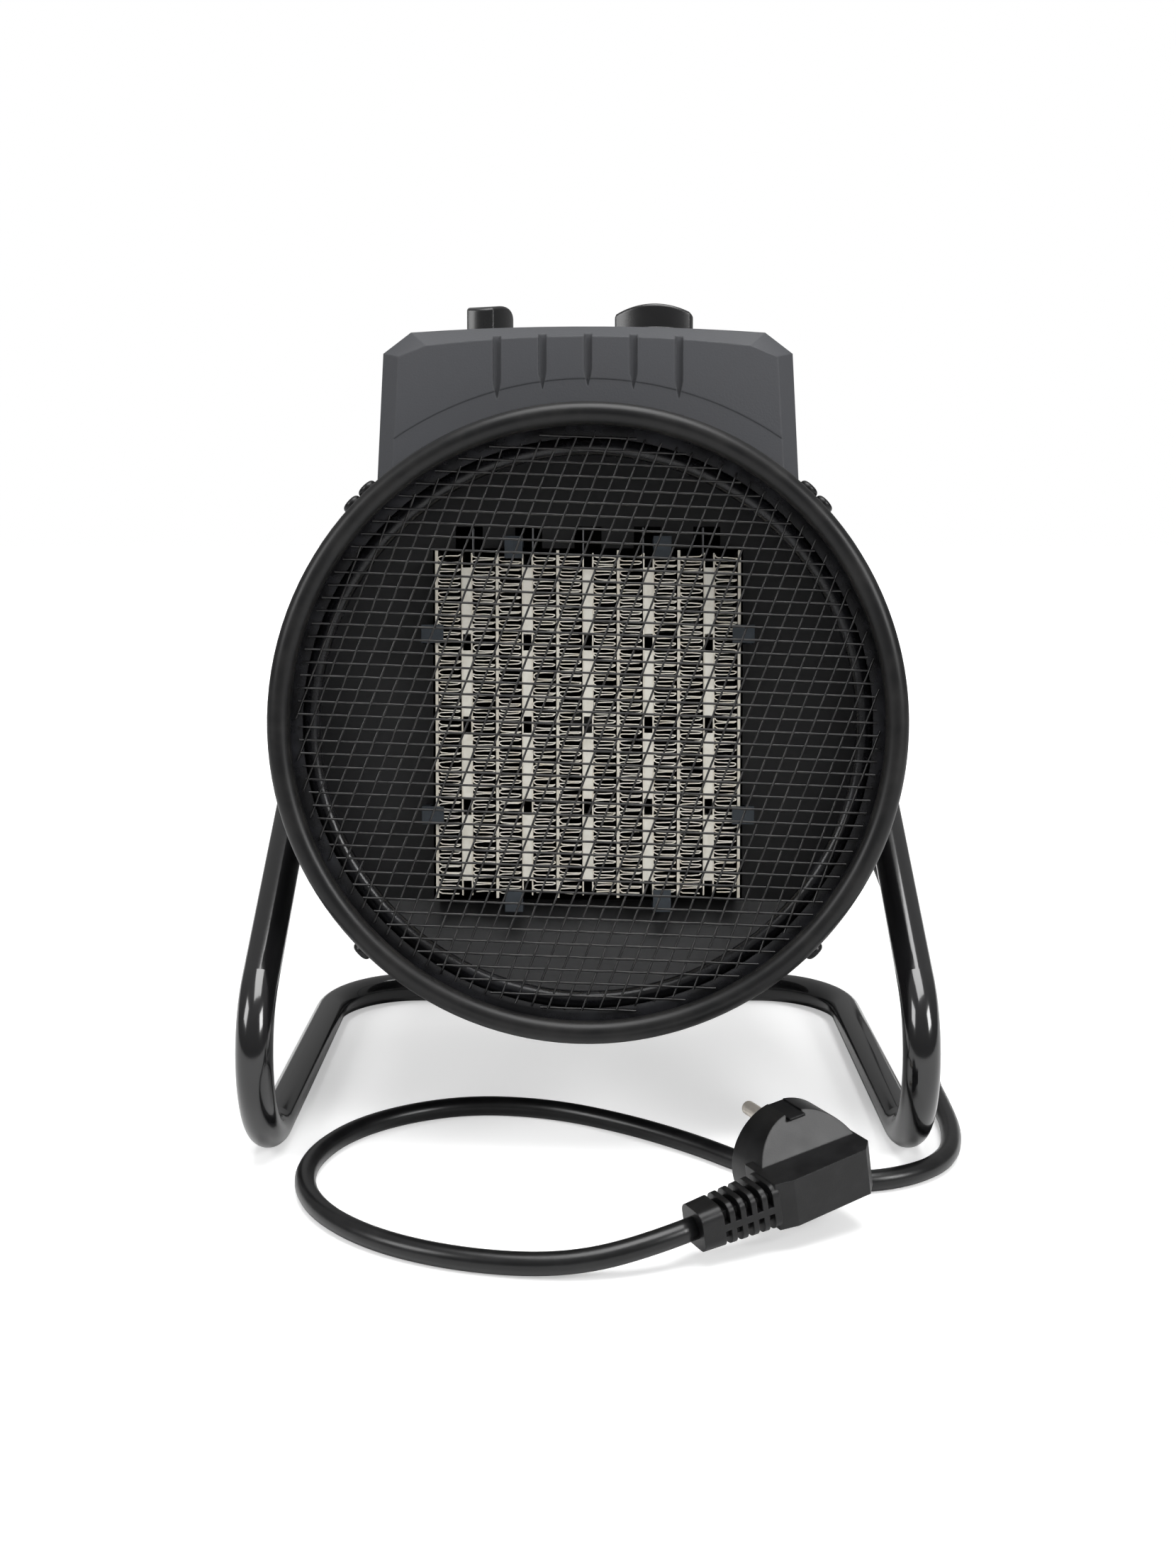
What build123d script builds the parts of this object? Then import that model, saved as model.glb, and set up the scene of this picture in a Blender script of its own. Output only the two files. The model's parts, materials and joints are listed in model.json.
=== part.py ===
from build123d import *
import math
import os

# Portable drum fan heater with a ceramic element, on a bent tube stand.
# Units are millimetres. The floor is Z = 0, +Y is the back, and the origin is on the
# floor under the middle of the stand. The drum is drawn level, about its own axis,
# with its front rim at Y = 0, and is then tilted up and set on the stand.

# Stand
tube_d = 12.8
tube_wall = 1.4
stand_depth = 208.8
leg_gap = 8.5
front_bend_r = 32.0
rear_bend_r = 36.0
pivot_y = 30.6
drum_floor_gap = 33.5
ear_t = 3.2
ear_d = 19.0
ear_long = 12.0
ear_flare = 20.0

# Drum and its rim
rest_tilt = 8.1
rim_to_pivot = 105.0
drum_r = 105.0
drum_wall = 1.0
drum_length = 158.0
rim_d = 8.0
rim_over = 5.0
rim_slot_depth = 3.0
rim_slot_gap = 0.05

# Front guard
guard_wire = 1.6
guard_gap = 3.4
guard_y = 6.0
guard_pitch_x = 12.0
guard_pitch_z = 9.2
guard_slant = 19.0
guard_border = 2.0
seat_flange = 1.6
seat_depth = 5.0
seat_wall = 1.0

# Heating element
column_count = 5
column_pitch = 22.0
divider_t = 1.0
stone_w = 3.0
stone_h = 24.0
stone_gap = 6.0
stone_count = 4
plate_t = 0.5
element_height = 126.6
element_depth = 15.0
fin_t = 0.3
fin_count = 48
fin_gap = 0.04
baffle_y = 48.0
baffle_t = 1.2
baffle_clear = 2.0
baffle_drum_gap = 0.15
baffle_lip = 10.0
element_stand_out = 12.5
clip_w = 6.5
clip_hold = 3.0
clip_foot = 3.0
clip_t = 1.5
clip_side_offset = 33.0
clip_top_offset = 27.0
end_bar_h = 1.6
tab_w = 6.0
tab_edge = 2.0
tab_h = 9.0

# Fan and motor
fan_gap = 12.0
fan_hub_r = 17.0
fan_hub_h = 20.0
fan_y = 92.0
blade_count = 6
blade_sweep = 62.0
blade_pitch = 20.0
blade_t = 1.6
blade_root_sink = 2.0
shaft_r = 3.0
bush_clear = 0.05
rotor_r = 13.0
rotor_clear = 0.6
stator_side = 48.0
stator_t = 18.0
stator_y = 129.0
coil_len = 22.0
coil_w = 13.0
bearing_plate_t = 2.0
bearing_plate_gap = 8.0
shaft_end = 1.2
bearing_boss_r = 7.5
bearing_boss_h = 5.0
bearing_plate_w = 52.0
bearing_plate_low = 24.0
bearing_plate_high = 10.0
standoff_r = 4.0
bracket_w = 16.0
bracket_t = 1.5
bracket_screw_x = 19.5
bracket_drop = 18.0
rear_guard_t = 1.2
rear_slot_w = 7.0
rear_slot_pitch = 12.5
rear_slot_count = 12
rear_web = 5.0
rear_hub_r = 20.0
rear_lip = 7.0

# Control box
box_front_y = 30.0
box_back_y = 138.0
box_foot_in = 27.5
box_shoulder_in = 31.0
box_crown_in = 41.0
box_foot_drop = 39.0
box_shoulder_rise = 29.0
box_crown_rise = 36.6
box_top_rise = 38.8
box_bevel = 6.0
box_wall = 2.5
box_drum_gap = 0.2
groove_count = 5
groove_pitch = 16.3
groove_w = 2.8
groove_deep = 1.6
groove_gap = 11.0
groove_tip = 6.0
groove_top_cut = 3.0
brow_gap = 14.0
brow_step = 0.15
box_screw_low_in = 9.0
box_screw_low_drop = 17.0
box_screw_high_in = 16.0
box_screw_high_rise = 23.0

# Knobs, switch and thermostat
knob_y = 66.0
mode_knob_x = -37.0
heat_knob_x = 25.0
knob_skirt_r = 14.8
knob_skirt_h = 4.0
knob_h = 14.5
knob_bar_w = 15.5
knob_side_r = 36.0
knob_edge = 1.2
knob_gap = 0.5
knob_crown_r = 34.0
mode_knob_turn = 78.0
heat_knob_turn = -8.0
spindle_r = 3.0
spindle_hole_r = 3.6
spindle_drop = 9.0
switch_side = 28.0
switch_h = 24.0
switch_neck_r = 5.0
switch_neck_h = 3.0

# Cord, its gland and plug
terminal_w = 30.0
terminal_d = 18.0
terminal_h = 18.0
inner_lead_len = 13.0
cord_d = 7.2
gland_x = 58.0
gland_drop = 3.0
gland_r = 7.5
gland_len = 28.0
gland_tip_r = 5.2
gland_flange_r = 10.0
gland_flange_t = 2.5
plug_x = 63.0
plug_y = -122.4
plug_head_r = 19.0
plug_head_len = 18.0
plug_neck_back = 4.8
plug_heading = 26.0
plug_dip = 9.0
plug_block_t = 15.5
plug_block_long = 20.0
plug_block_back = 13.0
plug_neck_len = 26.0
plug_neck_w = 15.0
plug_neck_end_w = 13.0
plug_rib_count = 5
plug_rib_gap = 2.0
plug_rib_web = 4.4
plug_seam_w = 2.2
plug_facet = 7.0
pin_r = 2.4
pin_len = 19.0
pin_root_r = 2.0
pin_root = 6.0
pin_shoulder = 0.1
pin_spacing = 19.0
earth_w = 6.0
earth_t = 0.8

# Fasteners
screw_head_r = 3.6
screw_head_h = 2.4
screw_shank_r = 1.9
rim_screw_y = 9.5
rim_screw_pad = 5.8
rim_screw_pad_r = 3.5
rim_screw_spread = 3.8
bolt_r = 3.95
bolt_clear = 0.08
bolt_head_r = 8.0
bolt_head_h = 4.0
spacer_r = 10.0
washer_t = 0.8
washer_gap = 0.1
nut_side_r = 7.5
nut_h = 5.0
bolt_end_in = 8.0

# Longer than any hole or cut
beyond = 400.0

tube_r = tube_d / 2
cord_r = cord_d / 2
half_depth = stand_depth / 2 - tube_r
inner_r = drum_r - drum_wall
rim_outer_r = drum_r + rim_over
rim_r = rim_outer_r - rim_d / 2
guard_r = inner_r - guard_gap
leg_x = drum_r + leg_gap
pivot_z = drum_r + drum_floor_gap
fan_r = inner_r - fan_gap
box_foot_w = drum_r - box_foot_in
box_shoulder_w = drum_r - box_shoulder_in
box_crown_w = drum_r - box_crown_in
box_foot_z = drum_r - box_foot_drop
box_shoulder_z = drum_r + box_shoulder_rise
box_crown_z = drum_r + box_crown_rise
box_top_z = drum_r + box_top_rise
groove_arc_r = rim_outer_r + groove_gap
brow_arc_r = rim_outer_r + brow_gap
gland_z = drum_r - gland_drop
element_width = column_count * column_pitch + divider_t
element_y = baffle_y - element_stand_out
fin_height = element_height - 2 * end_bar_h
stone_stack = stone_count * stone_h + (stone_count - 1) * stone_gap

tilt = math.radians(rest_tilt)
drum_place = (
    Location((0, pivot_y - rim_to_pivot * math.cos(tilt), pivot_z + rim_to_pivot * math.sin(tilt)))
    * Location((0, 0, 0), (-rest_tilt, 0, 0))
)

parts = {}


def keep(name, *solids):
    """Adds one node, made of one solid or several separate ones."""
    shapes = [s for s in solids]
    parts[name] = shapes[0] if len(shapes) == 1 else Compound(children=shapes)


def on_drum(shape):
    """Moves a shape drawn about the level drum to its place on the stand."""
    return drum_place * shape


def rod(radius, y0, y1, x=0.0, z=0.0):
    """A cylinder along Y from y0 to y1."""
    centre = Location((x, (y0 + y1) / 2, z), (90, 0, 0))
    return centre * Cylinder(radius, abs(y1 - y0))


def side_rod(radius, x0, x1, y=0.0, z=0.0):
    """A cylinder along X from x0 to x1."""
    centre = Location(((x0 + x1) / 2, y, z), (0, 90, 0))
    return centre * Cylinder(radius, abs(x1 - x0))


def post(radius, z0, z1, x=0.0, y=0.0):
    """A cylinder along Z from z0 to z1."""
    return Pos(x, y, (z0 + z1) / 2) * Cylinder(radius, abs(z1 - z0))


def block(x0, x1, y0, y1, z0, z1):
    """A box between two corners."""
    size = Box(abs(x1 - x0), abs(y1 - y0), abs(z1 - z0))
    return Pos((x0 + x1) / 2, (y0 + y1) / 2, (z0 + z1) / 2) * size


def front_face(points_or_wire, y):
    """A face in the XZ plane at y, from (x, z) points."""
    wire = Wire(Polyline([Vector(x, y, z) for x, z in points_or_wire], close=True))
    return Face(wire)


# Stand


def stand_path():
    """The centreline of the stand tube, and the leg's direction in the YZ plane."""
    arc_y = -half_depth + front_bend_r
    arc_z = tube_r + front_bend_r
    run_y = pivot_y - arc_y
    run_z = pivot_z - arc_z
    reach = math.hypot(run_y, run_z)
    angle = math.atan2(run_z, run_y) + math.acos(front_bend_r / reach)
    top_y = arc_y + front_bend_r * math.cos(angle)
    top_z = arc_z + front_bend_r * math.sin(angle)
    mid = (angle + math.radians(270)) / 2
    mid_y = arc_y + front_bend_r * math.cos(mid)
    mid_z = arc_z + front_bend_r * math.sin(mid)
    leg_len = math.hypot(pivot_y - top_y, pivot_z - top_z)
    away = ((pivot_y - top_y) / leg_len, (pivot_z - top_z) / leg_len)
    stop = ear_long + ear_flare
    end_y = pivot_y - away[0] * stop
    end_z = pivot_z - away[1] * stop
    turn = rear_bend_r * (1 - math.sqrt(0.5))
    edges = []
    for s in (-1, 1):
        x = s * leg_x
        edges += [
            Line((x, end_y, end_z), (x, top_y, top_z)),
            ThreePointArc((x, top_y, top_z), (x, mid_y, mid_z), (x, arc_y, tube_r)),
            Line((x, arc_y, tube_r), (x, half_depth - rear_bend_r, tube_r)),
            ThreePointArc(
                (x, half_depth - rear_bend_r, tube_r),
                (x - s * turn, half_depth - turn, tube_r),
                (x - s * rear_bend_r, half_depth, tube_r),
            ),
        ]
    rear_x = leg_x - rear_bend_r
    edges.append(Line((-rear_x, half_depth, tube_r), (rear_x, half_depth, tube_r)))
    start = Vector(-leg_x, end_y, end_z)
    return Wire(edges), start, away


def ear(side, away):
    """The flattened and drilled end of one leg, with a rounded tip at the pivot."""
    x0 = side * leg_x - ear_t / 2
    x1 = side * leg_x + ear_t / 2
    lean = math.degrees(math.atan2(away[1], away[0]))
    strap = Pos(0, -ear_long / 2, 0) * Box(ear_t, ear_long, ear_d)
    flat = Plane(origin=(0, -ear_long, 0), x_dir=(1, 0, 0), z_dir=(0, -1, 0)) * RectangleRounded(
        ear_t, ear_d, ear_t * 0.49)
    round_end = Plane(origin=(0, -ear_long - ear_flare, 0), x_dir=(1, 0, 0), z_dir=(0, -1, 0)) * Circle(tube_r)
    flare = loft([flat.face(), round_end.face()])
    leg_end = Location((side * leg_x, pivot_y, pivot_z), (lean, 0, 0)) * (strap + flare)
    tip = side_rod(ear_d / 2, x0, x1, pivot_y, pivot_z)
    hole = side_rod(bolt_r + bolt_clear, x0 - 1, x1 + 1, pivot_y, pivot_z)
    return (tip + leg_end) - hole


def stand():
    path, start, away = stand_path()
    plane = Plane(origin=start, z_dir=(0, -away[0], -away[1]))
    ring = plane * (Circle(tube_r) - Circle(tube_r - tube_wall))
    tube = sweep(ring, path=path)
    keep("stand_tube", tube + ear(-1, away) + ear(1, away))


# Drum


def drum():
    shell = rod(drum_r, rim_slot_gap, drum_length) - rod(inner_r, -1, drum_length + 1)
    for s in (-1, 1):
        shell -= side_rod(bolt_r + bolt_clear, s * (inner_r - 5), s * (drum_r + 5), rim_to_pivot)
    cable = post(gland_r, inner_r - 10, drum_r + 6, 0, box_back_y - 24)
    shell -= cable
    keep("drum_shell", on_drum(shell))

    profile = Plane.YZ * (Pos(0, rim_r) * Circle(rim_d / 2))
    ring = revolve(profile, axis=Axis.Y)
    slot = rod(drum_r + rim_slot_gap, 0, rim_d) - rod(inner_r - rim_slot_gap, -1, rim_d + 1)
    keep("front_rim", on_drum(ring - slot))

    # The seat ring sits inside the drum's mouth, and the guard lies on its flange.
    seat_y0 = guard_y + guard_wire / 2
    seat_r = inner_r - rim_slot_gap
    seat = rod(seat_r, seat_y0, seat_y0 + seat_depth)
    seat -= rod(seat_r - seat_wall, seat_y0 + seat_wall, beyond)
    seat -= rod(guard_r - seat_flange, seat_y0 - 1, beyond)
    for angle in rim_screw_angles():
        seat -= rim_screw_axis(angle) * Cylinder(screw_shank_r + 0.1, 40)
    keep("guard_seat_ring", on_drum(seat))


def rim_screw_angles():
    """Angles from +X, in the XZ plane, of the screws just behind the rim."""
    upper = [s * rim_screw_spread / 2 for s in (-1, 1)]
    return [45 + a for a in upper] + [135 + a for a in upper] + [225, 315]


def rim_screw_axis(angle):
    """The place of a rim screw: local Z points out of the drum, and its foot is on the drum."""
    a = math.radians(angle)
    foot = Vector(drum_r * math.cos(a), rim_screw_y, drum_r * math.sin(a))
    return Location(Plane(origin=foot, x_dir=(0, 1, 0), z_dir=(math.cos(a), 0, math.sin(a))))


def rim_screws():
    screws = []
    pads = []
    bore = rod(drum_r + 0.02, 0, 30)
    for angle in rim_screw_angles():
        place = rim_screw_axis(angle)
        pad = place * (Pos(0, 0, (rim_screw_pad - 1) / 2) * Cylinder(rim_screw_pad_r, rim_screw_pad + 1))
        hole = place * Cylinder(screw_shank_r + 0.05, 30)
        pads.append(on_drum(pad - bore - hole))
        head = Pos(0, 0, rim_screw_pad + screw_head_h / 2 + 0.05) * Cylinder(screw_head_r, screw_head_h)
        head = fillet(head.edges().sort_by(Axis.Z)[-1:], screw_head_h * 0.6)
        shank = Pos(0, 0, (rim_screw_pad - 4) / 2) * Cylinder(screw_shank_r, rim_screw_pad + 4.2)
        cross = Pos(0, 0, rim_screw_pad + screw_head_h) * (Box(3.6, 0.9, 1.6) + Box(0.9, 3.6, 1.6))
        screws.append(on_drum(place * (head + shank - cross)))
        parts["drum_shell"] -= on_drum(hole)
    keep("rim_screw_pads", *pads)
    keep("rim_screws", *screws)


def front_guard():
    """Slanted wire mesh, drawn as a flat holed disc with the bars as wide as its thickness."""
    lean = math.tan(math.radians(guard_slant))
    rows = int(guard_r / guard_pitch_z) + 1
    cols = int(guard_r * (1 + lean) / guard_pitch_x) + 2
    half_x = (guard_pitch_x - guard_wire) / 2
    half_z = (guard_pitch_z - guard_wire) / 2
    holes = []
    limit = guard_r - guard_border
    for row in range(-rows, rows + 1):
        for col in range(-cols, cols + 1):
            z = row * guard_pitch_z
            x = col * guard_pitch_x + z * lean
            corners = [
                (x + sx * half_x + sz * half_z * lean, z + sz * half_z)
                for sx, sz in ((-1, -1), (1, -1), (1, 1), (-1, 1))
            ]
            if max(math.hypot(cx, cz) for cx, cz in corners) < limit:
                holes.append(Wire(Polyline([Vector(cx, guard_y, cz) for cx, cz in corners], close=True)))
    disc = Plane(origin=(0, guard_y, 0), x_dir=(1, 0, 0), z_dir=(0, -1, 0)) * Circle(guard_r)
    face = Face(disc.face().outer_wire(), holes)
    sheet = extrude(face, amount=guard_wire / 2, dir=(0, -1, 0), both=True)
    print("front guard gaps", len(holes))
    keep("front_guard", on_drum(sheet))


# Heating element


def heating_element():
    y0 = element_y
    y1 = element_y + element_depth
    low = -element_height / 2
    high = element_height / 2
    dividers = [block(-element_width / 2, -element_width / 2 + divider_t, y0, y1, low, high)]
    stones = []
    plates = []
    fins = []
    for middle in column_middles():
        edge = middle + column_pitch / 2 - divider_t / 2
        dividers.append(block(edge, edge + divider_t, y0, y1, low, high))
        for i in range(stone_count):
            z0 = -stone_stack / 2 + i * (stone_h + stone_gap)
            stones.append(block(middle - stone_w / 2, middle + stone_w / 2, y0, y1, z0, z0 + stone_h))
        for s in (-1, 1):
            inner = middle + s * stone_w / 2
            outer = inner + s * plate_t
            plates.append(block(inner, outer, y0, y1, low + 1, high - 1))
            far = middle + s * (column_pitch - divider_t) / 2
            ends = sorted((outer + s * fin_gap, far - s * fin_gap))
            fins.append(fin_strip(ends[0], ends[1], y0 + 0.5, y1 - 0.5))
    keep("ceramic_stones", *[on_drum(t) for t in stones])
    keep("electrode_plates", *[on_drum(p) for p in plates])
    keep("heating_fins", *[on_drum(f) for f in fins])
    keep("column_dividers", *[on_drum(d) for d in dividers])

    terminals = []
    for middle in column_middles():
        inward = 1 if middle < 0 else -1
        x0 = middle + inward * stone_w / 2
        tab_y = y1 - tab_edge
        terminals.append(on_drum(block(x0, x0 + inward * plate_t, tab_y - tab_w, tab_y, high - 1, high + tab_h)))
    keep("element_terminals", *terminals)


def column_middles():
    """The middle of each column of the element, across the drum."""
    return [(i - (column_count - 1) / 2) * column_pitch for i in range(column_count)]


def fin_strip(x0, x1, y0, y1):
    """One corrugated strip, folded from side to side up the column."""
    pitch = fin_height / (2 * fin_count)
    lean = math.atan2(pitch, x1 - x0)
    shift = fin_t / 2 / math.sin(lean)
    left = x0 + shift
    right = x1 - shift
    spine = [(left if i % 2 else right, -fin_height / 2 + i * pitch) for i in range(2 * fin_count + 1)]
    there = [(x + shift, z) for x, z in spine]
    back = [(x - shift, z) for x, z in reversed(spine)]
    return extrude(front_face(there + back, y0), amount=y1 - y0, dir=(0, 1, 0))


def baffle():
    half_x = element_width / 2 + baffle_clear
    half_z = element_height / 2 + baffle_clear
    y0 = baffle_y
    edge_r = inner_r - baffle_drum_gap
    plate = rod(edge_r, y0, y0 + baffle_t)
    lip = rod(edge_r, y0, y0 + baffle_lip) - rod(edge_r - baffle_t, y0 - 1, y0 + baffle_lip + 1)
    plate = plate + lip
    plate -= block(-half_x, half_x, y0 - 1, y0 + baffle_lip, -half_z, half_z)
    for middle in column_middles():
        plate -= block(middle - 5, middle + 5, y0 - 1, y0 + baffle_lip, half_z - 1, half_z + 8)
    keep("element_baffle", on_drum(plate))

    clips = []
    face_y = element_y
    for s in (-1, 1):
        for t in (-clip_side_offset, clip_side_offset):
            hook = block(s * (half_x - baffle_clear - clip_hold), s * (half_x + clip_foot), face_y - clip_t, face_y,
                         t - clip_w / 2, t + clip_w / 2)
            leg = block(s * (half_x + 0.2), s * (half_x + clip_foot), face_y - clip_t, y0, t - clip_w / 2,
                        t + clip_w / 2)
            clips.append(on_drum(hook + leg))
        for u in (-clip_top_offset, clip_top_offset):
            hook = block(u - clip_w / 2, u + clip_w / 2, face_y - clip_t, face_y,
                         s * (half_z - baffle_clear - clip_hold), s * (half_z + clip_foot))
            leg = block(u - clip_w / 2, u + clip_w / 2, face_y - clip_t, y0, s * (half_z + 0.2),
                        s * (half_z + clip_foot))
            clips.append(on_drum(hook + leg))
    keep("element_clips", *clips)


# Fan and motor


def fan():
    y0 = fan_y - fan_hub_h / 2
    y1 = fan_y + fan_hub_h / 2
    hub = rod(fan_hub_r, y0, y1)
    hub = fillet(hub.edges().sort_by(Axis.Y)[:1], 5)
    blade = Location((fan_r, fan_y, 0), (blade_pitch, 0, 0)) * Box(2 * fan_r, blade_t, 3 * fan_r)
    spread = 2 * fan_r * math.tan(math.radians(blade_sweep / 2))
    sector = front_face([(0, 0), (2 * fan_r, -spread), (2 * fan_r, spread)], fan_y - fan_r)
    blade &= extrude(sector, amount=2 * fan_r, dir=(0, 1, 0))
    blade &= rod(fan_r, 0, beyond) - rod(fan_hub_r - blade_root_sink, 0, beyond)
    wheel = hub
    for i in range(blade_count):
        wheel += Location((0, 0, 0), (0, i * 360 / blade_count, 0)) * blade
    wheel -= rod(shaft_r, y0 - 5, y1 + 5)
    keep("fan_blades", on_drum(wheel))

    front = y0 - 5
    bush_end = stator_y + stator_t / 2 + bearing_plate_gap + bearing_plate_t + bearing_boss_h
    back = bush_end + shaft_end
    keep("motor_shaft", on_drum(rod(shaft_r, front, back)))
    rotor = rod(rotor_r, stator_y - stator_t / 2, stator_y + stator_t / 2)
    keep("motor_rotor", on_drum(rotor - rod(shaft_r, 0, beyond)))
    clip = rod(shaft_r + 4, y0 - 2.2, y0 - 0.2) - rod(shaft_r, 0, beyond)
    keep("fan_retaining_clip", on_drum(clip))


def motor():
    y0 = stator_y - stator_t / 2
    y1 = stator_y + stator_t / 2
    core = block(-stator_side / 2, stator_side / 2, y0, y1, -stator_side / 2, stator_side / 2 + coil_w)
    window = block(-stator_side / 2 + 9, stator_side / 2 - 9, y0 - 1, y1 + 1, stator_side / 2 - 6,
                   stator_side / 2 + coil_w - 8)
    core -= window
    core -= rod(rotor_r + rotor_clear, y0 - 1, y1 + 1)
    for s in (-1, 1):
        core -= rod(screw_shank_r + 0.1, y0 - 1, y1 + 1, s * bracket_screw_x, -bracket_drop)
    keep("motor_core", on_drum(core))

    bar_z0 = stator_side / 2 + coil_w - 8
    limb = block(-coil_len / 2, coil_len / 2, y0 - 5, y1 + 5, bar_z0 - 4.8, bar_z0 + coil_w)
    limb = fillet(limb.edges().filter_by(Axis.X), 3)
    limb -= block(-coil_len, coil_len, y0 - 0.1, y1 + 0.1, bar_z0 - 0.1, bar_z0 + 8.1)
    keep("motor_coil", on_drum(limb))

    plates = []
    bushes = []
    for s, y in ((-1, y0 - bearing_plate_gap), (1, y1 + bearing_plate_gap)):
        low = min(y, y + s * bearing_plate_t)
        high = max(y, y + s * bearing_plate_t)
        half_w = bearing_plate_w / 2
        plate = block(-half_w, half_w, low, high, -bearing_plate_low, bearing_plate_high)
        plate -= rod(bearing_boss_r, low - 1, high + 1)
        feet = []
        for t in (-1, 1):
            screw_hole = rod(screw_shank_r + 0.1, 0, beyond, t * bracket_screw_x, -bracket_drop)
            plate -= screw_hole
            inner = y0 if s < 0 else y1
            foot = rod(standoff_r, min(inner, y), max(inner, y), t * bracket_screw_x, -bracket_drop)
            feet.append(foot - screw_hole)
        plates.append(on_drum(plate + feet[0] + feet[1]))
        out = s * (bearing_plate_t + bearing_boss_h)
        bush = rod(bearing_boss_r, min(y, y + out), max(y, y + out))
        bushes.append(on_drum(bush - rod(shaft_r + bush_clear, 0, beyond)))
    keep("motor_bearing_plates", *plates)
    keep("motor_bushes", *bushes)

    back = y1 + bearing_plate_gap + bearing_plate_t
    strap_low = -bracket_drop - bracket_w / 2
    strap_high = -bracket_drop + bracket_w / 2
    reach = math.sqrt(inner_r ** 2 - strap_low ** 2) - 0.3
    strap = block(-reach, reach, back, back + bracket_t, strap_low, strap_high)
    for s in (-1, 1):
        strap += block(s * (reach - bracket_t), s * reach, back - 12, back + bracket_t, strap_low, strap_high)
        strap -= rod(screw_shank_r + 0.1, back - 1, back + bracket_t + 1, s * bracket_screw_x, -bracket_drop)
    strap -= rod(bearing_boss_r + 0.3, back - 1, back + bracket_t + 1)
    keep("motor_bracket", on_drum(strap))

    screws = []
    for s in (-1, 1):
        x = s * bracket_screw_x
        plate_front = y0 - bearing_plate_gap - bearing_plate_t
        strap_back = back + bracket_t
        shank = rod(screw_shank_r, plate_front - 2, strap_back + 0.1, x, -bracket_drop)
        head = rod(screw_head_r, strap_back + 0.05, strap_back + screw_head_h, x, -bracket_drop)
        nut = rod(screw_head_r, plate_front - 0.1 - screw_head_h, plate_front - 0.1, x, -bracket_drop)
        screws.append(on_drum(shank + head + nut))
    keep("motor_screws", *screws)


def rear_guard():
    """Pressed sheet cover with rings of slots and a turned lip that fits in the drum."""
    y1 = drum_length
    y0 = y1 - rear_guard_t
    disc = Circle(inner_r - 0.1)
    slots = []
    ring_r = rear_hub_r + rear_slot_pitch / 2
    while ring_r + rear_slot_w / 2 < inner_r - 6:
        web_angle = math.degrees(rear_web / ring_r)
        sweep_angle = 360 / rear_slot_count - web_angle
        for i in range(rear_slot_count):
            start = i * 360 / rear_slot_count + web_angle / 2
            slots.append(slot_face(ring_r, start, sweep_angle))
        ring_r += rear_slot_pitch
    disc = disc - slots
    plane = Plane(origin=(0, y1, 0), x_dir=(1, 0, 0), z_dir=(0, -1, 0))
    cover = extrude(plane * disc, amount=rear_guard_t)
    lip = rod(inner_r - 0.1, y1 - rear_lip, y0 + 0.2) - rod(inner_r - 1.1, 0, beyond)
    keep("rear_guard", on_drum(cover + lip))

    screws = []
    for i in range(4):
        a = math.radians(45 + 90 * i)
        y = y1 - 4
        foot = Vector(drum_r * math.cos(a), y, drum_r * math.sin(a))
        place = Location(Plane(origin=foot, x_dir=(0, 1, 0), z_dir=(math.cos(a), 0, math.sin(a))))
        head = Pos(0, 0, 1.1) * Cylinder(3.0, 1.8)
        shank = Pos(0, 0, -1.5) * Cylinder(1.4, 5.2)
        hole = place * Cylinder(1.45, 12)
        screws.append(on_drum(place * (head + shank)))
        parts["drum_shell"] -= on_drum(hole)
        parts["rear_guard"] -= on_drum(hole)
    keep("rear_guard_screws", *screws)


def slot_face(radius, start, sweep_angle):
    """A round-the-ring slot with square ends, as a face in XY."""
    inner = radius - rear_slot_w / 2
    outer = radius + rear_slot_w / 2
    a0 = math.radians(start)
    a1 = math.radians(start + sweep_angle)
    am = (a0 + a1) / 2

    def at(r, a):
        return (r * math.cos(a), r * math.sin(a))

    edges = [
        ThreePointArc(at(outer, a0), at(outer, am), at(outer, a1)),
        Line(at(outer, a1), at(inner, a1)),
        ThreePointArc(at(inner, a1), at(inner, am), at(inner, a0)),
        Line(at(inner, a0), at(outer, a0)),
    ]
    return Face(Wire(edges))


# Control box


def box_outline(y, inset):
    """The box's outline across the drum, drawn in by inset, with an arched top."""
    foot = box_foot_w - inset
    shoulder = box_shoulder_w - inset
    crown = box_crown_w - inset
    shoulder_z = box_shoulder_z - inset * 0.4
    crown_z = box_crown_z - inset
    top_z = box_top_z - inset * 0.8
    points = [(crown, crown_z), (shoulder, shoulder_z), (foot, box_foot_z)]
    mirrored = [(-x, z) for x, z in reversed(points)]
    chain = [Vector(x, y, z) for x, z in points + mirrored]
    edges = [Line(a, b) for a, b in zip(chain[:-1], chain[1:])]
    edges.append(ThreePointArc(chain[-1], Vector(0, y, top_z), chain[0]))
    return Face(Wire(edges))


def box_solid(y0, y1, inset, bevel):
    """The box's outer or inner form: a prism with its front and back edges bevelled."""
    front = loft([box_outline(y0, inset + bevel), box_outline(y0 + bevel, inset)], ruled=True)
    back = loft([box_outline(y1 - bevel, inset), box_outline(y1, inset + bevel)], ruled=True)
    body = extrude(box_outline(y0 + bevel, inset), amount=y1 - y0 - 2 * bevel, dir=(0, 1, 0))
    return front + body + back


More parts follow.
